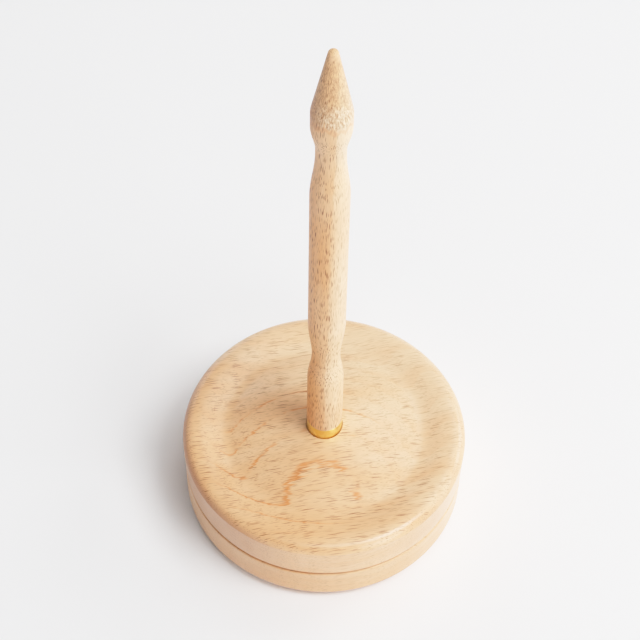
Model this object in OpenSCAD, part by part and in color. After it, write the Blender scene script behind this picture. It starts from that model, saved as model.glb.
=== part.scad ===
// Yarn holder: a turned beech dish that spins on a beech base, with a spindle screwed into its middle.
// Millimetres, +Z up. The origin is on the spin axis, at the level that the feet stand on.

/* [Dish] */
// Outer diameter of the dish
dish_d = 120; // [104:1:150]
// Height of the rim above the dish's underside
rim_h = 18.6; // [15:0.1:22]
// Height of the domed middle above the dish's underside
dome_h = 22.1; // [20:0.1:30]
// Width of the round-over on the rim, from the wall in to its crest
rim_w = 5; // [4.5:0.1:7]
// Height of the round-over, which meets the wall at an arris
rim_fall = 3.3; // [1:0.1:4]
// How far the wall leans in at the dish's underside
dish_taper = 0.4; // [0:0.1:2]
// Radius of the edge round the dish's underside
dish_edge = 0.3; // [0.2:0.1:2]
// Width of the cove, from the crest of the rim in to the crease
cove_w = 12; // [8:0.1:20]
// Depth of the crease below the rim
crease_drop = 2.6; // [1.5:0.1:5]
// Height over which the crease is softened
crease_blend = 3.2; // [0.2:0.1:5]

/* [Base] */
// Outer diameter of the base disc
base_d = 119.2; // [90:0.1:150]
// Radius of the base's upper edge
base_top_round = 0.8; // [0.4:0.1:3]
// Radius of the base's lower edge
base_bottom_round = 5; // [0.4:0.1:6]
// Gap between the base and the dish
disc_gap = 1.6; // [0.6:0.1:3]
// Room between the axle bolt's head and the bottom cap
head_room = 3; // [0.3:0.1:8]
// Room round the axle bolt's head
head_gap = 1.6; // [0.8:0.1:2]
// Diameter of the bottom cap
cap_d = 34; // [26:0.5:44]
// Thickness of the bottom cap
cap_t = 1; // [0.8:0.1:3]
// Rounding of the bottom cap's rim
cap_edge = 0.3; // [0.1:0.1:0.4]

/* [Feet] */
// Number of rubber feet
foot_count = 4; // [3:1:6]
// Diameter of a rubber foot
foot_d = 12; // [8:0.5:16]
// Distance of a foot's centre from the edge of the base
foot_inset = 12.5; // [10:0.5:18]
// Height that a foot stands proud of the base
foot_proud = 1; // [0.8:0.1:4]
// Depth of a foot's pocket in the base
foot_seat = 1.5; // [0.8:0.1:3]
// Rounding of a foot's lower edge
foot_round = 0.6; // [0.2:0.1:0.8]

/* [Bearing] */
// Outer diameter of the ball bearing
bearing_d = 22; // [21:0.5:26]
// Bore of the ball bearing
bearing_bore = 8; // [7:0.1:9]
// Width of the ball bearing
bearing_w = 7; // [6.8:0.1:10]
// Diameter of a bearing ball
ball_d = 3.97; // [3.5:0.01:4.1]
// Number of bearing balls
ball_count = 7; // [5:1:8]
// Radial space between the shoulders of the two rings
shoulder_space = 3; // [2.4:0.1:3.4]
// Radial width of the ball cage
cage_w = 1.8; // [1.2:0.1:2]
// Thickness of the cage below its ball pockets
cage_floor = 0.45; // [0.3:0.05:0.5]
// Height of the cage above the middle of the balls
cage_rise = 1; // [0.5:0.1:1.5]
// Thickness of a bearing shield
shield_t = 0.3; // [0.2:0.05:0.4]
// Depth of a shield below the end of the outer ring
shield_inset = 0.2; // [0.1:0.05:0.3]
// Width of the shield's seat in the outer ring
shield_seat = 0.6; // [0.3:0.1:0.8]

/* [Retainer] */
// Outer diameter of the bearing retainer plate
retainer_d = 40; // [36:0.5:56]
// Thickness of the retainer plate
retainer_t = 1.2; // [1.1:0.1:2.5]
// Lap of the retainer over the bearing's outer ring
retainer_lap = 1.6; // [0.8:0.1:1.8]
// Number of retainer screws
screw_count = 3; // [3:1:6]
// Shank diameter of a retainer screw
screw_d = 2.5; // [2:0.1:3]
// Head diameter of a retainer screw
screw_head_d = 4.6; // [4:0.1:5]
// Length of a retainer screw
screw_l = 9; // [6:0.5:11]
// Width of the cross recess in a screw's head
screw_cross = 0.6; // [0.4:0.1:0.8]
// Depth of the cross recess in a screw's head
screw_cross_depth = 0.7; // [0.3:0.1:0.8]

/* [Axle] */
// Diameter of the axle bolt's head
bolt_head_d = 14; // [12:0.5:15]
// Height of the axle bolt's head
bolt_head_h = 4.4; // [3.6:0.1:6]
// Rounding of the axle bolt's head
bolt_head_round = 3; // [1:0.1:3.2]
// Width across the flats of the bolt's hexagon socket
socket_flats = 5; // [4:0.5:6]
// Depth of the hexagon socket
socket_depth = 2.6; // [1.5:0.1:3]
// Length of thread that the axle bolt has in the insert
bolt_reach = 8.5; // [5:0.5:10]
// Chamfer at the ends of the threads
thread_chamfer = 0.8; // [0.3:0.1:1.2]
// Thickness of the washer under the bolt's head
head_washer_t = 1.6; // [1:0.1:3]

/* [Insert] */
// Diameter of the threaded insert's body
insert_d = 14; // [12:0.5:18]
// Diameter of the insert's flange
insert_flange_d = 20; // [19:0.5:28]
// Thickness of the insert's flange
insert_flange_t = 1.5; // [1:0.1:3]
// Wood left between the insert and the ferrule's seat
insert_cover = 1.2; // [0.6:0.1:3]

/* [Spindle] */
// Diameter of the brass ferrule
ferrule_d = 14.8; // [14:0.1:18]
// Height of the brass ferrule
ferrule_h = 6.3; // [3:0.1:12]
// Wall of the brass ferrule
ferrule_wall = 1.4; // [0.8:0.1:1.8]
// Chamfer on the ferrule's edges
ferrule_chamfer = 0.25; // [0.1:0.05:0.4]
// Depth of the ferrule's seat in the dish
ferrule_seat = 1; // [0.6:0.1:2]
// Room round the ferrule in its seat
ferrule_gap = 0.3; // [0.2:0.1:1]
// Diameter of the spindle's foot
spindle_foot_d = 14.9; // [14:0.1:18]
// Length of the spindle's foot
spindle_foot_l = 29.5; // [20:0.5:50]
// Diameter of the waist above the foot
waist_d = 11.5; // [8:0.1:14]
// Length of the curve from the foot in to the waist
waist_fall_l = 16.5; // [8:0.5:30]
// Length of the curve from the waist out to the body
waist_rise_l = 22; // [8:0.5:30]
// Diameter of the straight body
body_d = 15; // [12:0.1:18]
// Length of the straight body
body_l = 75.5; // [40:1:120]
// Diameter of the neck below the head
neck_d = 11.3; // [9:0.1:14]
// Length of the curve from the body in to the neck
neck_fall_l = 23; // [8:0.5:40]
// Length of the straight neck
neck_l = 2.5; // [1:0.1:10]
// Length of the curve from the neck out to the head
neck_rise_l = 12.5; // [6:0.5:30]
// Diameter of the head
head_d = 15.2; // [12:0.1:20]
// Length of the head's straight band
head_l = 6.8; // [3:0.1:12]
// Length of the pointed tip
tip_l = 29.4; // [16:0.5:60]
// Diameter of the blunt nose
nose_d = 4; // [2:0.1:8]
// Rounding of the edge between the head and the tip
head_round = 10; // [1:0.5:16]
// Length of the stud that is set in the spindle
stud_set_l = 27; // [15:0.5:40]

/* [Fits] */
// Radial clearance of the balls in the raceways
race_gap = 0.05; // [0.02:0.01:0.1]
// Clearance of the balls in the cage's pockets
cage_gap = 0.15; // [0.1:0.01:0.2]
// Gap between a shield and the inner ring
shield_gap = 0.3; // [0.2:0.05:0.5]
// Radial clearance of the bolt in the inner ring and the washers
axle_fit = 0.05; // [0.02:0.01:0.1]
// Radial clearance of the threads in the insert
thread_fit = 0.05; // [0.02:0.01:0.1]
// Radial clearance of what is pressed or glued into wood
wood_fit = 0.03; // [0.01:0.01:0.1]
// Radial room round the stud where it passes through the dish
stud_gap = 0.4; // [0.3:0.05:1]
// Space between the ends of the axle bolt and the stud
thread_space = 1; // [0.5:0.1:3]
// Space past the end of a screw, a stud or a tenon in its hole
end_space = 0.3; // [0.1:0.1:1]

/* [Hidden] */
$fn = 96;
// Steps of a small round edge, a turned curve and the dish's upper face
EDGE_STEPS = 6;
CURVE_STEPS = 16;
TOP_STEPS = 48;
// How far a cut runs past the face that it opens
PAST = 1;

BEECH = [0.89, 0.75, 0.58];
BEECH_PALE = [0.91, 0.79, 0.64];
BRASS = [0.87, 0.67, 0.31];
STEEL = [0.72, 0.73, 0.75];
BRIGHT_STEEL = [0.82, 0.83, 0.85];
DARK_PLASTIC = [0.16, 0.15, 0.14];
NYLON = [0.86, 0.84, 0.76];
RUBBER = [0.12, 0.12, 0.12];

// Levels of the base and of what is stacked in it, from the feet up
base_h = cap_t + head_room + bolt_head_h + head_washer_t + bearing_w + retainer_t;
base_z = foot_proud;
base_top_z = base_z + base_h;
bearing_top_z = base_top_z - retainer_t;
bearing_z = bearing_top_z - bearing_w;
bearing_mid_z = bearing_z + bearing_w / 2;
bolt_seat_z = bearing_z - head_washer_t;
bolt_z = bolt_seat_z - bolt_head_h;

// Levels of the dish
dish_z = base_top_z + disc_gap;
rim_z = dish_z + rim_h;
dome_z = dish_z + dome_h;
ferrule_z = dome_z - ferrule_seat;
insert_top_z = ferrule_z - insert_cover;
bolt_top_z = dish_z + bolt_reach;

// Levels of the spindle
stud_z = bolt_top_z + thread_space;
tenon_z = ferrule_z + end_space;
stud_top_z = tenon_z + stud_set_l;
spindle_foot_z = ferrule_z + ferrule_h;
waist_fall_z = spindle_foot_z + spindle_foot_l;
waist_z = waist_fall_z + waist_fall_l;
body_z = waist_z + waist_rise_l;
body_top_z = body_z + body_l;
neck_z = body_top_z + neck_fall_l;
neck_top_z = neck_z + neck_l;
head_z = neck_top_z + neck_rise_l;
tip_z = head_z + head_l;
nose_z = tip_z + tip_l;

// Radii of the dish, and the slope at which the round-over meets the wall
crest_r = dish_d / 2 - rim_w;
crease_r = crest_r - cove_w;
dish_foot_r = dish_d / 2 - dish_taper;
rim_round = (rim_w * rim_w + rim_fall * rim_fall) / (2 * rim_fall);
arris_angle = acos(rim_w / rim_round);

// Radii of the bearing
pitch_r = (bearing_bore + bearing_d) / 4;
inner_shoulder_r = pitch_r - shoulder_space / 2;
outer_shoulder_r = pitch_r + shoulder_space / 2;
race_r = ball_d / 2 + race_gap;
shield_seat_r = outer_shoulder_r + shield_seat;
shield_depth = shield_inset + shield_t;
cage_z = bearing_mid_z - ball_d / 2 - cage_gap - cage_floor;

// Radii of the retainer and its screws
retainer_hole_r = bearing_d / 2 - retainer_lap;
screw_pitch_r = (bearing_d + retainer_d) / 4;
screw_head_h = (screw_head_d - screw_d) / 2;

// Radii of the threads and of the tenon in the ferrule
thread_r = bearing_bore / 2 - axle_fit;
tenon_r = ferrule_d / 2 - ferrule_wall - wood_fit;
foot_pitch_r = base_d / 2 - foot_inset;

FOOT_NODES = [for (i = [1:foot_count]) str("rubber_foot_", i)];
BALL_NODES = [for (i = [1:ball_count]) str("bearing_ball_", i)];

// Points of an arc about c, from angle a to angle b
function arc(c, r, a, b, steps) =
    [for (i = [0:steps]) let (t = a + (b - a) * i / steps) c + r * [cos(t), sin(t)]];

// Points of an S-curve from p to q, upright at both ends, without p itself
function s_curve(p, q) =
    [for (i = [1:CURVE_STEPS]) let (t = i / CURVE_STEPS)
        [p.x + (q.x - p.x) * (1 - cos(180 * t)) / 2, p.y + (q.y - p.y) * t]];

// The larger of a and b, blended over the height k where they cross
function soft_max(a, b, k) = let (h = max(0, 1 - abs(a - b) / k)) max(a, b) + k * h * h / 4;

// Height of the dish's upper face at radius r: a low dome meets a cove that falls from the rim
function dome_face(r) = dome_z - (dome_z - rim_z + crease_drop) * pow(r / crease_r, 2);
function cove_face(r) = rim_z - crease_drop * pow((crest_r - r) / cove_w, 2);
function dish_face(r) = soft_max(dome_face(r), cove_face(r), crease_blend);

// Half outline of the tip: a rounded shoulder on the head, a straight cone and a blunt round nose
function tip_outline() =
    let (slope = atan2((head_d - nose_d) / 2, tip_l - nose_d / 2),
         shoulder = [head_d / 2 - head_round, tip_z - head_round * tan(slope / 2)])
    concat(
        arc(shoulder, head_round, 0, slope, EDGE_STEPS),
        arc([0, nose_z - nose_d / 2], nose_d / 2, slope, 90, EDGE_STEPS));

// A solid turned about the Z axis from its half outline
module turned(outline) rotate_extrude() polygon(outline);

// A round hole or disc between two levels
module round_between(r, low, high) translate([0, 0, low]) cylinder(h = high - low, r = r);

// A flat ring between two levels
module ring_between(inner_r, outer_r, low, high)
    difference() {
        round_between(outer_r, low, high);
        round_between(inner_r, low - PAST, high + PAST);
    }

// Copies on a circle, the first one half a step round from the X axis
module on_circle(r, count)
    for (i = [1:count]) rotate([0, 0, (i - 0.5) * 360 / count]) translate([r, 0, 0]) children();

// Turned base disc, with its bearing pocket above and its bolt well, cap recess and foot pockets below
module base_disc() color(BEECH_PALE)
    difference() {
        turned(concat(
            [[0, base_z]],
            arc([base_d / 2 - base_bottom_round, base_z + base_bottom_round], base_bottom_round, -90, 0, EDGE_STEPS),
            arc([base_d / 2 - base_top_round, base_top_z - base_top_round], base_top_round, 0, 90, EDGE_STEPS),
            [[0, base_top_z]]));
        round_between(retainer_d / 2 + wood_fit, bearing_top_z, base_top_z + PAST);
        round_between(bearing_d / 2 + wood_fit, bearing_z, base_top_z);
        round_between(bolt_head_d / 2 + head_gap, base_z, bearing_z + PAST);
        round_between(cap_d / 2 + wood_fit, base_z - PAST, base_z + cap_t);
        on_circle(foot_pitch_r, foot_count)
            round_between(foot_d / 2 + wood_fit, base_z - PAST, base_z + foot_seat);
        on_circle(screw_pitch_r, screw_count)
            round_between(screw_d / 2 + wood_fit, base_top_z - screw_l - end_space, base_top_z);
    }

// Rubber foot, glued into its pocket
module rubber_foot(i) color(RUBBER)
    rotate([0, 0, (i - 0.5) * 360 / foot_count]) translate([foot_pitch_r, 0, 0])
        turned(concat(
            [[0, 0]],
            arc([foot_d / 2 - foot_round, foot_round], foot_round, -90, 0, EDGE_STEPS),
            [[foot_d / 2, foot_proud + foot_seat], [0, foot_proud + foot_seat]]));

// Thin cap that closes the bolt well, flush with the base's underside
module bottom_cap() color(DARK_PLASTIC)
    turned(concat(
        [[0, base_z]],
        arc([cap_d / 2 - cap_edge, base_z + cap_edge], cap_edge, -90, 0, EDGE_STEPS),
        [[cap_d / 2, base_z + cap_t], [0, base_z + cap_t]]));

// Outer ring, with its raceway and a seat for a shield at each end
module bearing_outer_ring() color(STEEL)
    difference() {
        ring_between(outer_shoulder_r, bearing_d / 2, bearing_z, bearing_top_z);
        raceway();
        round_between(shield_seat_r + axle_fit, bearing_z - PAST, bearing_z + shield_depth);
        round_between(shield_seat_r + axle_fit, bearing_top_z - shield_depth, bearing_top_z + PAST);
    }

// Inner ring, clamped on the axle bolt
module bearing_inner_ring() color(STEEL)
    difference() {
        ring_between(bearing_bore / 2, inner_shoulder_r, bearing_z, bearing_top_z);
        raceway();
    }

// The groove that the balls run in
module raceway()
    rotate_extrude() translate([pitch_r, bearing_mid_z]) circle(r = race_r);

// Thin steel shield that closes one end of the bearing, seated in the outer ring
module bearing_shield(low) color(BRIGHT_STEEL)
    ring_between(inner_shoulder_r + shield_gap, shield_seat_r, low, low + shield_t);

// Crown cage, a ring with a pocket for each ball
module bearing_cage() color(NYLON)
    difference() {
        ring_between(pitch_r - cage_w / 2, pitch_r + cage_w / 2, cage_z, bearing_mid_z + cage_rise);
        on_circle(pitch_r, ball_count) translate([0, 0, bearing_mid_z]) sphere(r = ball_d / 2 + cage_gap);
    }

// Steel ball in its pocket
module bearing_ball(i) color(BRIGHT_STEEL)
    rotate([0, 0, (i - 0.5) * 360 / ball_count]) translate([pitch_r, 0, bearing_mid_z]) sphere(d = ball_d);

// Retainer plate, let in flush over the outer ring, with countersunk holes
module bearing_retainer() color(STEEL)
    difference() {
        ring_between(retainer_hole_r, retainer_d / 2, bearing_top_z, base_top_z);
        on_circle(screw_pitch_r, screw_count) {
            round_between(screw_d / 2 + wood_fit, bearing_top_z - PAST, base_top_z);
            translate([0, 0, base_top_z - screw_head_h])
                cylinder(h = screw_head_h, r1 = screw_d / 2 + wood_fit, r2 = screw_head_d / 2 + wood_fit);
        }
    }

// Countersunk screws of the retainer, with a cross recess and a point
module retainer_screws() color(BRIGHT_STEEL)
    on_circle(screw_pitch_r, screw_count)
        translate([0, 0, base_top_z]) difference() {
            turned([
                [0, -screw_l],
                [screw_d / 2, -screw_l + screw_d],
                [screw_d / 2, -screw_head_h],
                [screw_head_d / 2, 0],
                [0, 0]]);
            for (turn = [0, 90])
                rotate([0, 0, turn]) translate([-screw_d / 2, -screw_cross / 2, -screw_cross_depth])
                    cube([screw_d, screw_cross, screw_cross_depth + PAST]);
        }

// Button head bolt, up through the bearing into the insert, with a hexagon socket
module axle_bolt() color(STEEL)
    difference() {
        turned(concat(
            [[0, bolt_z]],
            arc([bolt_head_d / 2 - bolt_head_round, bolt_z + bolt_head_round], bolt_head_round, -90, 0, EDGE_STEPS),
            [[bolt_head_d / 2, bolt_seat_z],
             [thread_r, bolt_seat_z],
             [thread_r, bolt_top_z - thread_chamfer],
             [thread_r - thread_chamfer, bolt_top_z],
             [0, bolt_top_z]]));
        translate([0, 0, bolt_z - PAST])
            cylinder(h = socket_depth + PAST, d = socket_flats / cos(30), $fn = 6);
    }

// Washer between the bolt's head and the inner ring
module head_washer() color(BRIGHT_STEEL)
    ring_between(bearing_bore / 2, inner_shoulder_r, bolt_seat_z, bearing_z);

// Spacer between the inner ring and the insert, which sets the gap between the discs
module spacer_washer() color(BRIGHT_STEEL)
    ring_between(bearing_bore / 2, inner_shoulder_r, bearing_top_z, dish_z);

// Flanged insert in the dish, tapped right through
module threaded_insert() color(BRASS)
    difference() {
        union() {
            round_between(insert_flange_d / 2, dish_z, dish_z + insert_flange_t);
            round_between(insert_d / 2, dish_z, insert_top_z);
        }
        round_between(thread_r + thread_fit, dish_z - PAST, insert_top_z + PAST);
    }

// Turned dish, bored for the insert from below and for the stud and the ferrule from above
module dish() color(BEECH)
    difference() {
        turned(concat(
            [[0, dish_z]],
            arc([dish_foot_r - dish_edge, dish_z + dish_edge], dish_edge, -90, 0, EDGE_STEPS),
            arc([crest_r, rim_z - rim_round], rim_round, arris_angle, 90, 2 * EDGE_STEPS),
            [for (i = [1:TOP_STEPS]) let (r = crest_r * (1 - i / TOP_STEPS)) [r, dish_face(r)]]));
        round_between(insert_flange_d / 2 + wood_fit, dish_z - PAST, dish_z + insert_flange_t);
        round_between(insert_d / 2 + wood_fit, dish_z, insert_top_z);
        round_between(thread_r + stud_gap, dish_z, dome_z + PAST);
        round_between(ferrule_d / 2 + ferrule_gap, ferrule_z, dome_z + PAST);
    }

// Brass ferrule round the spindle's tenon, standing in its seat in the dish
module spindle_ferrule() color(BRASS)
    let (inner_r = ferrule_d / 2 - ferrule_wall, outer_r = ferrule_d / 2, top = ferrule_z + ferrule_h)
    turned([
        [inner_r, ferrule_z],
        [outer_r - ferrule_chamfer, ferrule_z],
        [outer_r, ferrule_z + ferrule_chamfer],
        [outer_r, top - ferrule_chamfer],
        [outer_r - ferrule_chamfer, top],
        [inner_r, top]]);

// Turned spindle: tenon, foot, waist, straight body, neck, head and blunt tip, bored for the stud
module spindle() color(BEECH)
    difference() {
        turned(concat(
            [[0, tenon_z], [tenon_r, tenon_z], [tenon_r, spindle_foot_z], [spindle_foot_d / 2, spindle_foot_z]],
            [[spindle_foot_d / 2, waist_fall_z]],
            s_curve([spindle_foot_d / 2, waist_fall_z], [waist_d / 2, waist_z]),
            s_curve([waist_d / 2, waist_z], [body_d / 2, body_z]),
            [[body_d / 2, body_top_z]],
            s_curve([body_d / 2, body_top_z], [neck_d / 2, neck_z]),
            [[neck_d / 2, neck_top_z]],
            s_curve([neck_d / 2, neck_top_z], [head_d / 2, head_z]),
            tip_outline()));
        round_between(thread_r + wood_fit, tenon_z - PAST, stud_top_z + end_space);
    }

// Stud set in the spindle, which screws into the insert
module spindle_stud() color(BRIGHT_STEEL)
    turned([
        [0, stud_z],
        [thread_r - thread_chamfer, stud_z],
        [thread_r, stud_z + thread_chamfer],
        [thread_r, stud_top_z - thread_chamfer],
        [thread_r - thread_chamfer, stud_top_z],
        [0, stud_top_z]]);

base_disc();
bottom_cap();
bearing_outer_ring();
bearing_shield(bearing_z + shield_inset);  // bearing_shield_lower
bearing_shield(bearing_top_z - shield_depth);  // bearing_shield_upper
bearing_retainer();
retainer_screws();
bearing_cage();
bearing_inner_ring();
head_washer();
axle_bolt();
spacer_washer();
threaded_insert();
dish();
spindle_ferrule();
spindle();
spindle_stud();
for (i = [1:foot_count])
    rubber_foot(i);
for (i = [1:ball_count])
    bearing_ball(i);
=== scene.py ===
import math
import bpy
import numpy as np
from mathutils import Euler, Matrix, Vector


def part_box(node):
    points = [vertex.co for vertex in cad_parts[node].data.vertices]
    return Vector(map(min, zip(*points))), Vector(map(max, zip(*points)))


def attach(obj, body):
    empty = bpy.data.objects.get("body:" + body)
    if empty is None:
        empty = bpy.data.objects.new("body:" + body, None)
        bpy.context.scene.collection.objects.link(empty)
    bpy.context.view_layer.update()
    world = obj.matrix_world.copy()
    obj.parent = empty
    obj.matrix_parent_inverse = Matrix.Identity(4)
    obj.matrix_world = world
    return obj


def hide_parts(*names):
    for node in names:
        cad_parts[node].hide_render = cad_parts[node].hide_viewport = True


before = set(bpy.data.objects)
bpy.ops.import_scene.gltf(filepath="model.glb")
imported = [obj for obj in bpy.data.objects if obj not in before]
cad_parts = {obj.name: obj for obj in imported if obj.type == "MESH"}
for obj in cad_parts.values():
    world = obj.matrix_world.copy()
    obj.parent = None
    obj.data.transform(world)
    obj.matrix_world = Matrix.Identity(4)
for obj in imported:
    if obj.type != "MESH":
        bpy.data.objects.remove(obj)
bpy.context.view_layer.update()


# Base disc: a thick disc of steamed beech, sawn flat from the board, so its grain runs along X.
# It is faced and edged on the lathe, bored for the bearing, the bolt's head and the cap, and drilled
# from below for the rubber feet. Sizes are in millimetres, and come from the pieces that it holds.
MM = 0.001
WOOD_FIT = 0.03
BOLT_ROOM = 1.6
SCREWS = 3
SCREW_HOLE_R = 1.28
SCREW_HOLE_DEPTH = 9.3
POCKET_RUN_OUT = 1.0
BASE_UPPER_ROUND = 0.8
BASE_LOWER_ROUND = 5.0
BORE_EASE = 0.2
SHARP_EDGE = math.radians(20)
BOARD_TURN = (0, 0, math.radians(-11))
# Painted shade: the board's shade side, a direction and a share at the origin. Base and dish are painted
# warmer and deeper toward their left front, away from the lamps.
BOARD_PAINTED_SHADE = ((-0.012, -0.013, 0), 0.0)
BEND_GRAIN, BEND_REACH = (50, 40, 40), 4.0
RING_SWAYS = (((70, 26, 26), 0.6), ((9, 0.9, 4), 0.3))
UPRIGHT_TO_LEVEL = (0.3, 0.75)


def levels(node):
    """Outer radius, lowest and highest level of a CAD node that is turned about Z, in millimetres."""
    low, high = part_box(node)
    return high.x / MM, low.z / MM, high.z / MM


def plug(node):
    """Centre, radius and highest level of a CAD node that is turned about an upright axis beside Z."""
    low, high = (np.array(corner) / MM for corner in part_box(node))
    return (low + high)[:2] / 2, (high - low)[0] / 2, high[2]


def eased(corners, steps=14, guard=0.12):
    """Half outline through corners (radius, height, easing). Each eased corner becomes an arc that
    touches both edges, easing / tan(half the corner's angle) away from it, with one guard point on
    each edge beside the arc."""
    points = np.array(corners, float)
    outline = []
    for before, (r, z, easing), after in zip(np.roll(points, 1, 0), points, np.roll(points, -1, 0)):
        corner = np.array([r, z])
        if not easing:
            outline.append(corner[None])
            continue
        back = (before[:2] - corner) / np.linalg.norm(before[:2] - corner)
        ahead = (after[:2] - corner) / np.linalg.norm(after[:2] - corner)
        half = 0.5 * np.arccos(np.clip(back @ ahead, -1, 1))
        middle = corner + (back + ahead) / np.linalg.norm(back + ahead) * easing / np.sin(half)
        first = corner + back * easing / np.tan(half) - middle
        last = corner + ahead * easing / np.tan(half) - middle
        sweep = math.pi - 2 * half
        t = np.linspace(0, 1, steps + 1)[:, None]
        arc = middle + (np.sin((1 - t) * sweep) * first + np.sin(t * sweep) * last) / np.sin(sweep)
        outline += [(arc[0] + guard * back)[None], arc, (arc[-1] + guard * ahead)[None]]
    return np.concatenate(outline)


def surface(name, points, faces):
    """A smooth shaded mesh object from points in millimetres, with its sharp edges kept crisp."""
    mesh = bpy.data.meshes.new(name)
    mesh.from_pydata(points * MM, [], faces)
    mesh.shade_smooth()
    mesh.set_sharp_from_angle(angle=SHARP_EDGE)
    piece = bpy.data.objects.new(name, mesh)
    bpy.context.scene.collection.objects.link(piece)
    return piece


def wrapped(name, r, z, centre=(0, 0)):
    """A grid of radii, one row for each height and one column for each angle, wrapped round an upright
    axis: x = r cos a, y = r sin a. Where the first row lies on the axis, so does the last, and both
    become single points. Otherwise the last row joins the first."""
    r, z = np.asarray(r, float), np.asarray(z, float)
    sides = r.shape[1]
    angle = np.linspace(0, 2 * math.pi, sides, endpoint=False)
    x, y = centre[0] + r * np.cos(angle), centre[1] + r * np.sin(angle)
    points = np.stack([x, y, z[:, None] + 0 * r], -1)
    on_axis = not r[0].any()
    rows = points[1:-1] if on_axis else points
    index = np.arange(rows.shape[0] * sides).reshape(-1, sides)
    if not on_axis:
        index = np.vstack([index, index[:1]])
    right = np.roll(index, -1, 1)
    faces = np.stack([index[:-1], right[:-1], right[1:], index[1:]], -1).reshape(-1, 4).tolist()
    points, ends = rows.reshape(-1, 3), points[[0, -1], 0]
    if on_axis:
        low, high = np.full((2, sides), len(points)) + [[0], [1]]
        faces += np.stack([low, right[0], index[0]], -1).tolist()
        faces += np.stack([high, index[-1], right[-1]], -1).tolist()
        points = np.vstack([points, ends])
    return surface(name, points, faces)


def turned(name, outline, centre=(0, 0), sides=240):
    """A half outline of (radius, height) points, turned about an upright axis."""
    outline = np.asarray(outline, float)
    return wrapped(name, np.repeat(outline[:, :1], sides, 1), outline[:, 1], centre)


def carve(piece, cutters):
    """Cuts the cutters' volumes out of a piece, keeps the result as its mesh and removes the cutters."""
    for cutter in cutters:
        cut = piece.modifiers.new("cut", "BOOLEAN")
        cut.object = cutter
        cut.solver = "EXACT"
    carved = bpy.data.meshes.new_from_object(piece.evaluated_get(bpy.context.evaluated_depsgraph_get()))
    piece.modifiers.clear()
    piece.data = carved
    carved.set_sharp_from_angle(angle=SHARP_EDGE)
    for cutter in cutters:
        bpy.data.objects.remove(cutter)


def srgb(red, green, blue):
    """A colour of 0 to 255 steps, as the linear values with alpha that a shader takes."""
    c = np.array([red, green, blue]) / 255
    linear = np.where(c <= 0.04045, c / 12.92, ((c + 0.055) / 1.055) ** 2.4)
    return (*linear, 1.0)


def add(tree, kind, sockets=None, **settings):
    """One shader node, with its settings. Each named or numbered socket takes a value, or a link from
    an output."""
    made = tree.nodes.new("ShaderNode" + kind)
    for name, value in settings.items():
        setattr(made, name, value)
    for name, value in (sockets or {}).items():
        if isinstance(value, bpy.types.NodeSocket):
            tree.links.new(value, made.inputs[name])
        else:
            made.inputs[name].default_value = value
    return made


def finish(name):
    """A new material: itself, its node tree, and the surface shader in it."""
    material = bpy.data.materials.new(name)
    material.use_nodes = True
    return material, material.node_tree, material.node_tree.nodes["Principled BSDF"]


def lay(tree, shader, colour, roughness, relief, strength, depth):
    """Feeds a surface shader its colour, its roughness, and a relief of that strength and depth in
    millimetres."""
    bump = add(tree, "Bump", {"Strength": strength, "Distance": depth * MM, "Height": relief})
    for value, socket in ((colour, "Base Color"), (roughness, "Roughness"), (bump.outputs[0], "Normal")):
        tree.links.new(value, shader.inputs[socket])


def spot(tree, turn=(0, 0, 0), shift=(0, 0, 0)):
    """The place on the object in millimetres, turned and shifted."""
    place = add(tree, "TexCoord").outputs["Object"]
    scaled = {"Vector": place, "Location": shift, "Rotation": turn, "Scale": (1 / MM,) * 3}
    return add(tree, "Mapping", scaled).outputs["Vector"]


def in_grains(tree, place, grain):
    """A place counted in grains of that size in millimetres along each axis."""
    sockets = {0: place, 1: tuple(1 / size for size in grain)}
    return add(tree, "VectorMath", sockets, operation="MULTIPLY").outputs[0]


def noise(tree, place, grain, detail=2.0, roughness=0.5):
    """Cloudy noise from 0 to 1, with grains of that size in millimetres along each axis."""
    grains = in_grains(tree, place, grain)
    sockets = {"Vector": grains, "Scale": 1.0, "Detail": detail, "Roughness": roughness}
    return add(tree, "TexNoise", sockets).outputs["Fac"]


def ramp(tree, value, low, high, to_low=0.0, to_high=1.0):
    """Value eased from low..high to to_low..to_high."""
    sockets = {"Value": value, "From Min": low, "From Max": high, "To Min": to_low, "To Max": to_high}
    return add(tree, "MapRange", sockets, interpolation_type="SMOOTHSTEP").outputs["Result"]


def maths(tree, operation, a, b=0.0):
    """One step of arithmetic on one or two values."""
    return add(tree, "Math", {0: a, 1: b}, operation=operation).outputs[0]


def plus(tree, a, b):
    """Two values added."""
    return maths(tree, "ADD", a, b)


def times(tree, a, b):
    """Two values multiplied."""
    return maths(tree, "MULTIPLY", a, b)


def reach(tree, vector, direction):
    """How far a vector reaches in a direction: their dot product."""
    return add(tree, "VectorMath", {0: vector, 1: direction}, operation="DOT_PRODUCT").outputs["Value"]


def upward(tree, vector):
    """A vector's Z."""
    return add(tree, "SeparateXYZ", {0: vector}).outputs["Z"]


def blend(tree, share, a, b):
    """Colour a where share is 0, and colour b where it is 1."""
    return add(tree, "Mix", {0: share, 6: a, 7: b}, data_type="RGBA").outputs[2]


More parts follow.
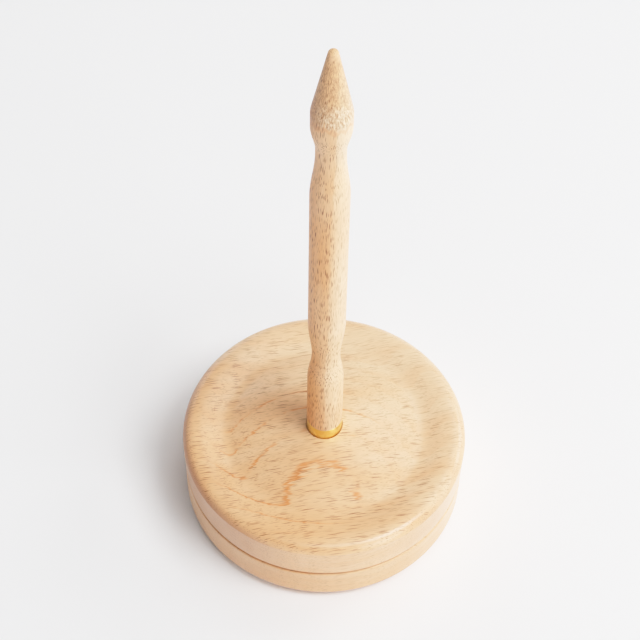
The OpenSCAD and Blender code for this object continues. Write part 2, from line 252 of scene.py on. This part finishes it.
def late_wood(tree, here, place, level, toward_painted_shade, rings, stain):
    """Share of late wood. A ring's age is the fraction of depth over the ring gap, and noise sways the
    depth along the grain. Late wood deepens toward autumn, ends in a thin line and stops at winter. The
    line comes in patches, most of all toward the painted shade side, on level faces and within the
    stain's reach."""
    gap, autumn_share, line_share = rings
    depth = upward(tree, place)
    for grain, sway in RING_SWAYS:
        depth = plus(tree, depth, times(tree, noise(tree, place, grain), sway * gap))
    age = maths(tree, "FRACT", maths(tree, "DIVIDE", depth, gap))
    winter = ramp(tree, age, 0.94, 1.0, 1.0, 0.0)
    autumn = times(tree, ramp(tree, age, 0.3, 0.95, 0.0, autumn_share), winter)
    line = times(tree, ramp(tree, age, 0.82, 0.94, 0.0, line_share), winter)
    line = times(tree, line, ramp(tree, level, 0.8, 0.95, 0.3, 1.0))
    # The patches lean toward the painted shade side.
    patchy = plus(tree, noise(tree, place, (12, 6, 6)), times(tree, toward_painted_shade, 0.12))
    patch = ramp(tree, patchy, 0.44, 0.6)
    if stain:
        middle, radius = stain
        away = add(tree, "VectorMath", {0: here, 1: middle}, operation="DISTANCE").outputs["Value"]
        patch = times(tree, patch, ramp(tree, away, 0.7 * radius, radius, 1.0, 0.1))
    return maths(tree, "MAXIMUM", autumn, times(tree, line, patch))


def ray_dashes(tree, place, level, rays):
    """Strength of the rays. Each layer has cells stretched along the grain, and each cell a dash round
    its middle, as strong as its own chance and the layer's share on level or on upright faces."""
    dashes = 0.0
    for size, level_share, upright_share in rays:
        cells = add(tree, "TexVoronoi", {"Vector": in_grains(tree, place, size), "Scale": 1.0})
        core = ramp(tree, cells.outputs["Distance"], 0.16, 0.38, 1.0, 0.0)
        draw = add(tree, "SeparateColor", {0: cells.outputs["Color"]}).outputs[0]
        facing = ramp(tree, level, *UPRIGHT_TO_LEVEL, upright_share, level_share)
        share = times(tree, ramp(tree, draw, 0.0, 0.8), facing)
        dashes = maths(tree, "MAXIMUM", dashes, times(tree, core, share))
    return dashes


def scuffed_and_shaded(tree, here, toward_painted_shade, colour, shade_and_scuff_bands):
    """A colour with bands that the tool left rough, and with painted light and shade. Each band has a
    ragged lower height with its rise, an upper height with its fall, its cover on the lit side and on the
    painted shade side, and the colours of its crumbs and pits. Covers that differ between the sides
    paint pale crumbs where the light falls and dark bands in the shade."""
    ragged = ramp(tree, noise(tree, here, (2, 2, 5), 3.0), 0.2, 0.8, -2.5, 2.5)
    height = plus(tree, upward(tree, here), ragged)
    specks = ramp(tree, noise(tree, here, (0.45, 0.45, 2.2), 4.0, 0.75), 0.36, 0.64)
    for low, rise, high, fall, lit_side_cover, shade_side_cover, crumb, pit in shade_and_scuff_bands:
        above = ramp(tree, height, low, low + rise)
        below = ramp(tree, height, high, high + fall, 1.0, 0.0)
        # Painted light and shade: each band's cover changes from the lit side to the shade side.
        cover = ramp(tree, toward_painted_shade, 0.2, 1.5, lit_side_cover, shade_side_cover)
        cover = times(tree, cover, times(tree, above, below))
        colour = blend(tree, cover, colour, blend(tree, specks, pit, crumb))
    return colour


def beech(name, turn, shift, painted_shade, tones, rings, rays, fibres, polish, stain=None, shade_and_scuff_bands=()):
    """Satin beech. The turn and the shift lay the grain along X and stack the rings along Z. The wood
    warms in clouds, and warms toward the painted shade side, which is a direction with a share at the
    origin: that warmth is painted shade on the side away from the lamps. Upright faces are paler, partly
    their side grain and partly painted light from the pale floor. End grain is deeper, most of all on the
    painted shade side, where it is partly painted shade. Late wood, rays, scuffs and fibres lie over
    that, the rays fade toward the lit side as painted light, and the fibres and the rays also give the
    relief."""
    shade_direction, shade_offset = painted_shade
    pale, warm, late, ray, end = tones
    fibre_size, fibre_low, fibre_high = fibres
    material, tree, shader = finish(name)
    here = spot(tree)
    straight = spot(tree, turn, shift)
    bend = times(tree, noise(tree, straight, BEND_GRAIN, 1.0), BEND_REACH)
    aside = add(tree, "CombineXYZ", {"Y": bend}).outputs[0]
    place = add(tree, "VectorMath", {0: straight, 1: aside}).outputs[0]
    normal = add(tree, "TexCoord").outputs["Normal"]
    level = maths(tree, "ABSOLUTE", upward(tree, normal))
    # Painted shade: how far a point lies toward the shade side, away from the lamps.
    toward_painted_shade = plus(tree, reach(tree, here, shade_direction), shade_offset)

    clouds = ramp(tree, noise(tree, place, (70, 14, 14), 3.0), 0.3, 0.7, -0.5, 0.5)
    # The wood warms toward the shade side as painted shade. Upright faces turn paler, partly their side
    # grain and partly painted light from the pale floor.
    warmth_and_painted_shade = plus(tree, toward_painted_shade, ramp(tree, level, *UPRIGHT_TO_LEVEL, -0.45, 0.0))
    colour = blend(tree, ramp(tree, plus(tree, warmth_and_painted_shade, clouds), -1.2, 1.2), pale, warm)
    colour = blend(tree, late_wood(tree, here, place, level, toward_painted_shade, rings, stain), colour, late)

    grain_side = tuple(Euler(turn).to_matrix()[0])
    cut_across = ramp(tree, maths(tree, "ABSOLUTE", reach(tree, normal, grain_side)), 0.25, 0.75)
    cut_across = times(tree, cut_across, ramp(tree, level, 0.0, 0.4, 0.6, 1.0))
    # End grain is deeper, and deepens further toward the shade side: partly the end grain's own tone,
    # partly painted shade on the left rim.
    end_grain_and_shade = times(tree, cut_across, ramp(tree, toward_painted_shade, -0.8, 0.8, 0.1, 0.75))
    colour = blend(tree, end_grain_and_shade, colour, end)

    dashes = ray_dashes(tree, place, level, rays)
    # Painted light: the rays fade where the painted warmth is low, toward the lit side.
    strength = ramp(tree, warmth_and_painted_shade, -1.4, 0.2, 0.4, 1.0)
    colour = blend(tree, times(tree, dashes, strength), colour, ray)
    if shade_and_scuff_bands:
        colour = scuffed_and_shaded(tree, here, toward_painted_shade, colour, shade_and_scuff_bands)

    fibre = noise(tree, place, fibre_size, 3.0, 0.65)
    shade = ramp(tree, fibre, 0.25, 0.75, fibre_low, fibre_high)
    colour = add(tree, "HueSaturation", {"Color": colour, "Value": shade}).outputs[0]
    relief = maths(tree, "SUBTRACT", fibre, times(tree, dashes, 0.5))
    lay(tree, shader, colour, ramp(tree, fibre, 0.2, 0.8, 0.4, 0.52), relief, strength=0.25, depth=0.05)
    shader.inputs["Coat Weight"].default_value = polish
    shader.inputs["Coat Roughness"].default_value = 0.18
    shader.inputs["Specular IOR Level"].default_value = polish
    return material


def dress(piece, material, body, slot, *nodes):
    """Gives a new piece its finish, the body that carries it and the CAD nodes that it stands for.
    Its slot argument is not used."""
    piece.data.materials.append(material)
    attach(piece, body)
    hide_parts(*nodes)


base_r, base_z, base_top = levels("base_disc")
cap_r, cap_z, cap_top = levels("bottom_cap")
plate_r, plate_z, _ = levels("bearing_retainer")
race_r, race_z, _ = levels("bearing_outer_ring")
well_r = levels("axle_bolt")[0] + BOLT_ROOM
base_outline = eased([
    (well_r, cap_top, 0),
    (cap_r + WOOD_FIT, cap_top, 0),
    (cap_r + WOOD_FIT, base_z, BORE_EASE),
    (base_r, base_z, BASE_LOWER_ROUND),
    (base_r, base_top, BASE_UPPER_ROUND),
    (plate_r + WOOD_FIT, base_top, BORE_EASE),
    (plate_r + WOOD_FIT, plate_z, 0),
    (race_r + WOOD_FIT, plate_z, 0),
    (race_r + WOOD_FIT, race_z, 0),
    (well_r, race_z, 0),
])
base = turned("base_turning", base_outline)
foot_nodes = sorted(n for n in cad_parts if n.startswith("rubber_foot_"))
cutters = []
for node in foot_nodes:
    centre, foot_r, foot_top = plug(node)
    pocket_r = foot_r + WOOD_FIT
    mouth_z = base_z - POCKET_RUN_OUT
    pocket = [(0, mouth_z), (pocket_r, mouth_z), (pocket_r, foot_top), (0, foot_top)]
    cutters.append(turned("pocket", pocket, centre, sides=64))
screw_pitch_r = (race_r + plate_r) / 2
hole_z = base_top - SCREW_HOLE_DEPTH
hole = [(0, hole_z), (SCREW_HOLE_R, hole_z), (SCREW_HOLE_R, base_top), (0, base_top)]
for step in range(SCREWS):
    angle = math.radians(360 / SCREWS * (step + 0.5))
    centre = screw_pitch_r * np.array([math.cos(angle), math.sin(angle)])
    cutters.append(turned("screw_hole", hole, centre, sides=32))
carve(base, cutters)
base_beech = beech(
    "base beech", BOARD_TURN, (20, 0, 1.0), BOARD_PAINTED_SHADE,
    tones=(
        srgb(236, 195, 154), srgb(223, 165, 116), srgb(210, 144, 92),
        srgb(122, 78, 42), srgb(202, 152, 110)),
    rings=(4.4, 0.15, 0.3),
    rays=[((10, 0.45, 2.2), 0.6, 0.15), ((6, 0.38, 0.38), 0.4, 0.55)],
    fibres=((16, 0.38, 0.38), 0.92, 1.06),
    polish=0.35)
dress(base, base_beech, "base", "base_beech", "base_disc")


# Rubber feet: moulded black rubber pads, glued into the pockets in the base's underside.
# Each has a shallow cup in its tread, with the dimple of the mould's gate at the middle.
FOOT_GATE_R, FOOT_GATE_RIM_R, FOOT_GATE_H = 0.9, 1.2, 0.55
FOOT_CUP_R, FOOT_CUP_RIM_R, FOOT_CUP_H = 3.5, 4.1, 0.3
FOOT_GATE_EASE = 0.12
FOOT_CUP_EASE = 0.2
FOOT_ROUND = 0.6
MOULD_STEPS = 8
MOULD_GUARD = 0.04


def moulded(name, colour, dust, roughness, grain, depth):
    """Moulded plastic or rubber: a colour with dusty clouds, and a fine grain of that size and depth."""
    material, tree, shader = finish(name)
    place = spot(tree)
    clouds = ramp(tree, noise(tree, place, (6, 6, 6), 4.0, 0.6), 0.42, 0.75)
    specks = noise(tree, place, (grain,) * 3)
    dull = ramp(tree, specks, 0.2, 0.8, roughness - 0.08, roughness + 0.1)
    lay(tree, shader, blend(tree, clouds, colour, dust), dull, specks, strength=0.5, depth=depth)
    return material


foot_rubber = moulded("foot rubber", srgb(34, 33, 32), srgb(58, 56, 53), 0.68, 0.35, 0.05)
for node in foot_nodes:
    centre, foot_r, foot_top = plug(node)
    foot_outline = eased([
        (0, FOOT_GATE_H, 0),
        (FOOT_GATE_R, FOOT_GATE_H, FOOT_GATE_EASE),
        (FOOT_GATE_RIM_R, FOOT_CUP_H, FOOT_GATE_EASE),
        (FOOT_CUP_R, FOOT_CUP_H, FOOT_CUP_EASE),
        (FOOT_CUP_RIM_R, 0, FOOT_CUP_EASE),
        (foot_r, 0, FOOT_ROUND),
        (foot_r, foot_top, 0),
        (0, foot_top, 0),
    ], MOULD_STEPS, MOULD_GUARD)
    foot = turned(node.replace("rubber_foot", "foot_pad"), foot_outline, centre, sides=96)
    dress(foot, foot_rubber, "base", "foot_rubber", node)


# Bottom cap: a thin moulded plastic disc that snaps into the base's underside and hides the bolt's head.
# A raised rim, a sunk ring and a gate mark at the middle are moulded into its face.
CAP_GATE_R, CAP_GATE_RIM_R, CAP_GATE_H = 1.0, 1.25, 0.3
CAP_MIDDLE_R, CAP_MIDDLE_H = 6.0, 0.1
CAP_RING_FROM_R, CAP_RING_TO_R, CAP_RING_H = 6.4, 13.6, 0.32
CAP_RIM_R = 14.0
CAP_GATE_EASE = 0.1
CAP_RING_EASE = 0.12
CAP_EASE = 0.15
CAP_ROUND = 0.3
cap_outline = eased([
    (0, cap_z + CAP_GATE_H, 0),
    (CAP_GATE_R, cap_z + CAP_GATE_H, CAP_GATE_EASE),
    (CAP_GATE_RIM_R, cap_z + CAP_MIDDLE_H, CAP_GATE_EASE),
    (CAP_MIDDLE_R, cap_z + CAP_MIDDLE_H, CAP_EASE),
    (CAP_RING_FROM_R, cap_z + CAP_RING_H, CAP_RING_EASE),
    (CAP_RING_TO_R, cap_z + CAP_RING_H, CAP_EASE),
    (CAP_RIM_R, cap_z, CAP_EASE),
    (cap_r, cap_z, CAP_ROUND),
    (cap_r, cap_top, 0),
    (0, cap_top, 0),
], MOULD_STEPS, MOULD_GUARD)
cap = turned("cap_moulding", cap_outline)
cap_plastic = moulded("cap plastic", srgb(52, 46, 42), srgb(70, 63, 58), 0.5, 0.22, 0.03)
dress(cap, cap_plastic, "base", "cap_plastic", "bottom_cap")


# Ball bearing: two ground steel rings, seven polished balls in a nylon crown cage, and a pressed steel
# shield at each end. The outer ring is pushed into the base, and the inner ring is clamped on the bolt.
ball_nodes = sorted(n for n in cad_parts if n.startswith("bearing_ball_"))


def steel(name, colour, stain, roughness, line):
    """Ground steel: metal with faint stains, and tool lines of that width in circles round the axle."""
    material, tree, shader = finish(name)
    place = spot(tree)
    flat = add(tree, "VectorMath", {0: place, 1: (1, 1, 0)}, operation="MULTIPLY").outputs[0]
    radius = add(tree, "VectorMath", {0: flat}, operation="LENGTH").outputs["Value"]
    lines = noise(tree, add(tree, "CombineXYZ", {"X": radius}).outputs[0], (line, 1, 1), 3.0)
    clouds = ramp(tree, noise(tree, place, (4, 4, 4), 3.0), 0.4, 0.75)
    dull = ramp(tree, lines, 0.2, 0.8, roughness - 0.06, roughness + 0.1)
    lay(tree, shader, blend(tree, clouds, colour, stain), dull, lines, strength=0.15, depth=0.03)
    shader.inputs["Metallic"].default_value = 1.0
    return material


def refinish(material, *nodes):
    """Gives CAD nodes, whose shapes are right as they are, a finish."""
    for node in nodes:
        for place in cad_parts[node].material_slots:
            place.material = material


ring_steel = steel("ring steel", srgb(196, 198, 202), srgb(176, 178, 184), 0.24, 0.12)
ball_steel = steel("ball steel", srgb(212, 214, 218), srgb(200, 202, 207), 0.1, 0.3)
shield_steel = steel("shield steel", srgb(205, 206, 206), srgb(188, 189, 190), 0.32, 0.2)
cage_nylon = moulded("cage nylon", srgb(226, 219, 198), srgb(214, 205, 180), 0.42, 0.3, 0.02)
refinish(ring_steel, "bearing_outer_ring", "bearing_inner_ring")
refinish(ball_steel, *ball_nodes)
refinish(shield_steel, "bearing_shield_lower", "bearing_shield_upper")
refinish(cage_nylon, "bearing_cage")


# Retainer plate and its screws, the axle bolt and the two washers: zinc plated steel. The plate is let
# into the base over the outer ring, and the bolt clamps washer, inner ring and spacer up against the
# dish's insert.
plate_zinc = steel("plate zinc", srgb(200, 201, 196), srgb(180, 181, 172), 0.3, 0.25)
bolt_zinc = steel("bolt zinc", srgb(190, 192, 190), srgb(168, 170, 166), 0.28, 0.18)
refinish(plate_zinc, "bearing_retainer", "head_washer", "spacer_washer")
refinish(bolt_zinc, "retainer_screws", "axle_bolt")


# Dish: a second beech disc, turned with a round-over rim, a cove that falls to a crease, and a low dome.
# It is bored from below for the brass insert, and from above for the stud and the ferrule's seat. Its
# board leans, so that its growth rings cut the dome in arches toward the front.
RIM_W = 5.0
RIM_FALL = 3.3
RIM_H = 18.6
DOME_H = 22.1
COVE_W = 12.0
CREASE_DROP = 2.6
CREASE_BLEND = 3.2
WALL_TAPER = 0.4
DISH_EDGE = 0.3
FERRULE_GAP = 0.3
SEAT_EASE = 0.15
STUD_GAP = 0.4
INSERT_R = 7.0
FLANGE_T = 1.5
TOP_STEPS = 150
DISH_TURN = tuple(math.radians(a) for a in (-12.6, 0, -11))
STAIN_AT, STAIN_R = (-10, -15), 40


def bow(centre, radius, first, last, steps=20):
    """Points of an arc about a centre, from the first angle to the last."""
    a = np.linspace(first, last, steps + 1)[:, None]
    return np.array(centre) + radius * np.hstack([np.cos(a), np.sin(a)])


def dish_top(r, crest_r, rim_z, dome_z):
    """Height of the dish's upper face: a dome that falls with the square of the radius, and a cove that
    falls with the square of the distance from the rim's crest, joined where they cross by a softened
    maximum."""
    crease_r = crest_r - COVE_W
    dome = dome_z - (dome_z - rim_z + CREASE_DROP) * (r / crease_r) ** 2
    cove = rim_z - CREASE_DROP * ((crest_r - r) / COVE_W) ** 2
    near = np.maximum(0, 1 - np.abs(dome - cove) / CREASE_BLEND)
    return np.maximum(dome, cove) + CREASE_BLEND * near ** 2 / 4


dish_r, dish_z, _ = levels("dish")
insert_flange_r, _, insert_top = levels("threaded_insert")
ferrule_r, ferrule_z, ferrule_top = levels("spindle_ferrule")
stud_r, stud_z, stud_top = levels("spindle_stud")
rim_z = dish_z + RIM_H
dome_z = dish_z + DOME_H
crest_r = dish_r - RIM_W
rim_round = (RIM_W ** 2 + RIM_FALL ** 2) / (2 * RIM_FALL)
seat_r = ferrule_r + FERRULE_GAP
top_r = np.linspace(crest_r, seat_r + SEAT_EASE, TOP_STEPS)[1:]
top_face = np.stack([top_r, dish_top(top_r, crest_r, rim_z, dome_z)], -1)
wall = eased([
    (stud_r + STUD_GAP, insert_top, 0),
    (INSERT_R + WOOD_FIT, insert_top, 0),
    (INSERT_R + WOOD_FIT, dish_z + FLANGE_T, 0),
    (insert_flange_r + WOOD_FIT, dish_z + FLANGE_T, 0),
    (insert_flange_r + WOOD_FIT, dish_z, BORE_EASE),
    (dish_r - WALL_TAPER, dish_z, DISH_EDGE),
    (dish_r, rim_z - RIM_FALL, 0),
])
rim_from = math.acos(RIM_W / rim_round)
rim = bow((crest_r, rim_z - rim_round), rim_round, rim_from, math.pi / 2)[1:]
seat_edge = top_face[-1] - SEAT_EASE
seat = np.array([seat_edge, (seat_r, ferrule_z), (stud_r + STUD_GAP, ferrule_z)])
dish = turned("dish_turning", np.concatenate([wall, rim, top_face, seat]), sides=320)
dish_beech = beech(
    "dish beech", DISH_TURN, (0, 0, 0.65), BOARD_PAINTED_SHADE,
    tones=(
        srgb(239, 198, 157), srgb(229, 171, 122), srgb(216, 128, 64),
        srgb(125, 72, 32), srgb(160, 98, 56)),
    rings=(2.6, 0.1, 0.9),
    rays=[((10, 0.45, 2.2), 0.95, 0.15), ((6, 0.38, 0.38), 0.65, 0.6)],
    fibres=((16, 0.38, 0.38), 0.91, 1.06),
    polish=0.45,
    stain=((*STAIN_AT, dome_z), STAIN_R))
dress(dish, dish_beech, "turntable", "dish_beech", "dish")


# Spindle ferrule: a brass ring round the spindle's tenon, turned from tube and standing in the dish's
# seat. Its outside is polished, and its edges are eased.
FERRULE_WALL = 1.4
FERRULE_INNER_EASE = 0.1
FERRULE_OUTER_EASE = 0.25


def brass(name, colour, stain, roughness):
    """Turned brass: metal with clouds of a deeper tone, and fine rings of tool marks stacked along Z."""
    material, tree, shader = finish(name)
    place = spot(tree)
    clouds = ramp(tree, noise(tree, place, (5, 5, 5), 3.0), 0.35, 0.7)
    marks = noise(tree, place, (40, 40, 0.12))
    dull = ramp(tree, marks, 0.2, 0.8, roughness - 0.05, roughness + 0.1)
    lay(tree, shader, blend(tree, clouds, colour, stain), dull, marks, strength=0.2, depth=0.04)
    shader.inputs["Metallic"].default_value = 1.0
    return material


ferrule_outline = eased([
    (ferrule_r - FERRULE_WALL, ferrule_z, FERRULE_INNER_EASE),
    (ferrule_r, ferrule_z, FERRULE_OUTER_EASE),
    (ferrule_r, ferrule_top, FERRULE_OUTER_EASE),
    (ferrule_r - FERRULE_WALL, ferrule_top, FERRULE_INNER_EASE),
], guard=0.05)
ferrule = turned("ferrule_ring", ferrule_outline)
ferrule_brass = brass("ferrule brass", srgb(253, 227, 148), srgb(239, 201, 108), 0.3)
dress(ferrule, ferrule_brass, "ferrule", "ferrule_brass", "spindle_ferrule")


# Threaded insert: a flanged brass bush, pushed into the dish from below and tapped right through.
# The axle bolt screws into it from below, and the spindle's stud from above.
insert_brass = brass("insert brass", srgb(222, 176, 96), srgb(202, 152, 74), 0.3)
refinish(insert_brass, "threaded_insert")


# Spindle: turned between centres from a straight-grained beech stick, with a foot, a waist, a straight
# body, a neck, a head and a blunt tip. Its tenon is pressed into the ferrule, and it is bored for the
# stud. The tool tore the grain a little round the head and on the tip, and painted light and shade lie
# over the scuffs: pale crumbs on the lit side and a dark band on the head's shade side.
FOOT_R = 7.45
FOOT_L = 29.5
HEEL_EASE = 0.35
WAIST_R = 5.75
WAIST_FALL_L = 16.5
WAIST_RISE_L = 22.0
BODY_R = 7.5
BODY_L = 75.5
BODY_STEPS = 24
NECK_R = 5.65
NECK_FALL_L = 23.0
NECK_L = 2.5
NECK_RISE_L = 12.5
HEAD_R = 7.6
HEAD_L = 6.8
HEAD_ROUND = 10.0
NOSE_R = 2.0
END_SPACE = 0.3
STICK_TURN = (0, math.radians(-91), 0)
# Painted shade: the stick's shade side, a direction and a share at the origin. The spindle is painted
# warmer and deeper toward its left, away from the lamps, and toward its foot as painted warm light from
# the dish.
STICK_PAINTED_SHADE = ((-0.15, 0.03, -0.0035), 1.06)


def swell(start, end, steps=40):
    """Points of a turned S-curve, without its start: the radius follows half a cosine, so both ends run
    upright."""
    t = np.linspace(0, 1, steps + 1)[1:, None]
    r = start[0] + (end[0] - start[0]) * (1 - np.cos(math.pi * t)) / 2
    return np.hstack([r, start[1] + (end[1] - start[1]) * t])


_, tenon_z, nose_z = levels("spindle")
tenon_r = ferrule_r - FERRULE_WALL - WOOD_FIT
fall_z = ferrule_top + FOOT_L
waist_z = fall_z + WAIST_FALL_L
body_z = waist_z + WAIST_RISE_L
body_top = body_z + BODY_L
neck_z = body_top + NECK_FALL_L
neck_top = neck_z + NECK_L
head_z = neck_top + NECK_RISE_L
tip_z = head_z + HEAD_L
slope = math.atan2(HEAD_R - NOSE_R, nose_z - NOSE_R - tip_z)
shoulder = (HEAD_R - HEAD_ROUND, tip_z - HEAD_ROUND * math.tan(slope / 2))
bore_r = stud_r + WOOD_FIT
bore_top = stud_top + END_SPACE
spindle_outline = np.concatenate([
    [(0, bore_top), (bore_r, bore_top), (bore_r, tenon_z), (tenon_r, tenon_z)],
    eased([(tenon_r, ferrule_top, 0), (FOOT_R, ferrule_top, HEEL_EASE), (FOOT_R, fall_z, 0)]),
    swell((FOOT_R, fall_z), (WAIST_R, waist_z)),
    swell((WAIST_R, waist_z), (BODY_R, body_z)),
    swell((BODY_R, body_z), (BODY_R, body_top), BODY_STEPS),
    swell((BODY_R, body_top), (NECK_R, neck_z)),
    [(NECK_R, neck_top)],
    swell((NECK_R, neck_top), (HEAD_R, head_z)),
    bow(shoulder, HEAD_ROUND, 0, slope),
    bow((0, nose_z - NOSE_R), NOSE_R, slope, math.pi / 2)[:-1],
    [(0, nose_z)],
])
spindle = turned("spindle_turning", spindle_outline, sides=128)
spindle_beech = beech(
    "spindle beech", STICK_TURN, (0, 0, 6.5), STICK_PAINTED_SHADE,
    tones=(
        srgb(240, 204, 167), srgb(223, 154, 97), srgb(206, 130, 68),
        srgb(90, 40, 10), srgb(232, 190, 146)),
    rings=(9.0, 0.25, 0.3),
    rays=[((7, 0.44, 0.44), 1.0, 1.0), ((4.5, 0.34, 0.34), 0.9, 0.9)],
    fibres=((8, 0.3, 0.3), 0.89, 1.1),
    polish=0.2,
    shade_and_scuff_bands=[
        (tip_z - 5.5, 2.0, tip_z - 2.5, 2.0, 0.3, 0.3, srgb(220, 144, 92), srgb(190, 100, 54)),
        # Tear-out, with its pale crumbs kept mostly to the lit side as painted light.
        (tip_z - 1.0, 1.5, tip_z + 3.0, 9.0, 0.7, 0.15, srgb(246, 220, 186), srgb(150, 94, 52)),
        (tip_z + 3.0, 6.0, nose_z - 7.0, 6.0, 0.5, 0.4, srgb(232, 180, 128), srgb(118, 64, 28)),
        # Painted shade: a dark band only on the head's shade side.
        (tip_z - 5.0, 4.0, tip_z + 4.0, 18.0, 0.0, 0.55, srgb(192, 124, 72), srgb(104, 50, 18)),
    ])
dress(spindle, spindle_beech, "spindle", "spindle_beech", "spindle")


# Spindle stud: a steel hanger bolt, half wood screw and half machine screw, with a plain shank between.
# Its coarse thread is driven into the spindle, and its fine thread screws into the dish's insert.
FINE_PITCH = 1.25
FINE_DEPTH = 0.75
COARSE_PITCH = 3.2
COARSE_DEPTH = 1.0
THREAD_FLAT = 0.15
SHANK_L = 4.0
POINT_L = 5.0
POINT_R = 0.8
CHAMFER = 0.8
STUD_STEP = 0.1
STUD_SIDES = 72


def helix(angle, z, pitch, depth, low, high):
    """Depth of a screw's groove: a triangle wave of height over pitch less angle over a turn, with flats
    at crest and root, which runs out over half a pitch at each end of the threaded length."""
    wave = np.abs(2 * ((z / pitch - angle / (2 * math.pi)) % 1) - 1)
    run_out = np.clip((z - low) / (pitch / 2), 0, 1) * np.clip((high - z) / (pitch / 2), 0, 1)
    return depth * np.clip((1 + 2 * THREAD_FLAT) * wave - THREAD_FLAT, 0, 1) * run_out


stud_height = np.arange(stud_z, stud_top, STUD_STEP)[:, None]
stud_angle = np.linspace(0, 2 * math.pi, STUD_SIDES, endpoint=False)[None]
shank_z = tenon_z - SHANK_L / 2
shank_top = shank_z + SHANK_L
fine = helix(stud_angle, stud_height, FINE_PITCH, FINE_DEPTH, stud_z - FINE_PITCH, shank_z)
coarse = helix(stud_angle, stud_height, COARSE_PITCH, COARSE_DEPTH, shank_top, stud_top + COARSE_PITCH)
start = stud_r - CHAMFER + (stud_height - stud_z)
point = POINT_R + (stud_r - POINT_R) * (stud_top - stud_height) / POINT_L
stud_radius = np.minimum(np.minimum(stud_r - fine - coarse, start), point)
closed = np.zeros((1, STUD_SIDES))
stud = wrapped(
    "stud_thread",
    np.vstack([closed, stud_radius, closed]),
    np.concatenate([[stud_z], stud_height[:, 0], [stud_top]]))
stud_zinc = steel("stud zinc", srgb(192, 193, 190), srgb(170, 171, 166), 0.26, 0.3)
dress(stud, stud_zinc, "spindle", "plated_steel", "spindle_stud")


# Studio: a pale floor that sweeps up into a round backdrop, soft window light from the right and fill
# from the left. The camera stands where the photograph was taken from, looking down on the dish.
FLOOR_MIDDLE_R = 1.0
FLOOR_R = 2600.0
SWEEP_R = 900.0
BACKDROP_TOP = 1700.0
STAGE_SIDES = 96


def backdrop(outline, sides):
    """A half outline turned about Z, with its faces looking inward and its first ring closed by one
    face: x = r cos a, y = r sin a."""
    angle = np.linspace(0, 2 * math.pi, sides, endpoint=False)
    r, z = outline[:, :1], outline[:, 1:]
    points = np.stack([r * np.cos(angle), r * np.sin(angle), z + 0 * angle], -1).reshape(-1, 3)
    index = np.arange(len(points)).reshape(-1, sides)
    right = np.roll(index, -1, 1)
    faces = np.stack([index[:-1], index[1:], right[1:], right[:-1]], -1).reshape(-1, 4).tolist()
    return surface("floor", points, faces + [index[0].tolist()])


sweep = bow((FLOOR_R, SWEEP_R), SWEEP_R, -math.pi / 2, 0)
stage_top = (FLOOR_R + SWEEP_R, BACKDROP_TOP)
floor = backdrop(np.concatenate([[(FLOOR_MIDDLE_R, 0)], sweep, [stage_top]]), STAGE_SIDES)
floor_paint, _, floor_shader = finish("floor paint")
floor_shader.inputs["Base Color"].default_value = srgb(247, 247, 248)
floor_shader.inputs["Roughness"].default_value = 0.7
floor.data.materials.append(floor_paint)

# Each lamp has its azimuth from +X toward the camera and its elevation in degrees, its width in metres
# and its power in watts.
LAMP_DISTANCE = 3.0
LAMPS = {
    "window": (25, 58, 1.4, 72.0),
    "low window": (50, 25, 1.4, 34.0),
    "far window": (-30, 25, 1.4, 31.0),
    "back window": (-60, 58, 1.4, 15.0),
    "right wall": (0, 25, 1.4, 14.0),
    "left wall": (240, 25, 1.4, 11.0),
    "skylight": (60, 74, 1.4, 22.0),
}
for name, (azimuth, elevation, width, power) in LAMPS.items():
    around, above = math.radians(azimuth), math.radians(elevation)
    level_share = math.cos(above)
    toward = Vector((math.cos(around) * level_share, -math.sin(around) * level_share, math.sin(above)))
    lamp = bpy.data.objects.new(name, bpy.data.lights.new(name, "AREA"))
    lamp.data.shape = "DISK"
    lamp.data.size = width
    lamp.data.energy = power
    lamp.location = toward * LAMP_DISTANCE
    lamp.rotation_mode = "QUATERNION"
    lamp.rotation_quaternion = toward.to_track_quat("Z", "Y")
    bpy.context.scene.collection.objects.link(lamp)

world = bpy.data.worlds.new("surround")
world.use_nodes = True
world.node_tree.nodes["Background"].inputs["Color"].default_value = (0.96, 0.99, 1.0, 1.0)
world.node_tree.nodes["Background"].inputs["Strength"].default_value = 0.04
bpy.context.scene.world = world

# The tone curve has a soft shoulder: light / hypot(1, light / white).
WHITE = 1.1
BRIGHTEST = 4.0
SHOULDER_LIGHTS = (0.2, 0.4, 0.7, 1.0, 1.4, 2.0, 2.8)
view = bpy.context.scene.view_settings
view.view_transform = "Standard"
view.use_curve_mapping = True
view.curve_mapping.white_level = (BRIGHTEST,) * 3
tone_curve = view.curve_mapping.curves[3]
tone_curve.points[1].location = (1, BRIGHTEST / math.hypot(1, BRIGHTEST / WHITE))
for light in SHOULDER_LIGHTS:
    tone_curve.points.new(light / BRIGHTEST, light / math.hypot(1, light / WHITE))
view.curve_mapping.update()

# The camera's place, turns and focal length are fitted to the outlines of the discs and the spindle.
CAMERA_AT = Vector((0, -0.44184, 0.71502))
PITCH = math.radians(53.57)
YAW = math.radians(-0.35)
ROLL = math.radians(1.13)
FOCAL = 106.875
ahead = Vector((math.sin(YAW) * math.cos(PITCH), math.cos(YAW) * math.cos(PITCH), -math.sin(PITCH)))
side = ahead.cross(Vector((0, 0, 1))).normalized()
aim = Matrix((side, side.cross(ahead), -ahead)).transposed().to_4x4()
camera = bpy.data.objects.new("camera", bpy.data.cameras.new("camera"))
camera.data.lens = FOCAL
camera.data.sensor_width = 36
camera.data.clip_end = 50
camera.matrix_world = Matrix.Translation(CAMERA_AT) @ aim @ Matrix.Rotation(ROLL, 4, "Z")
bpy.context.scene.collection.objects.link(camera)
bpy.context.scene.camera = camera
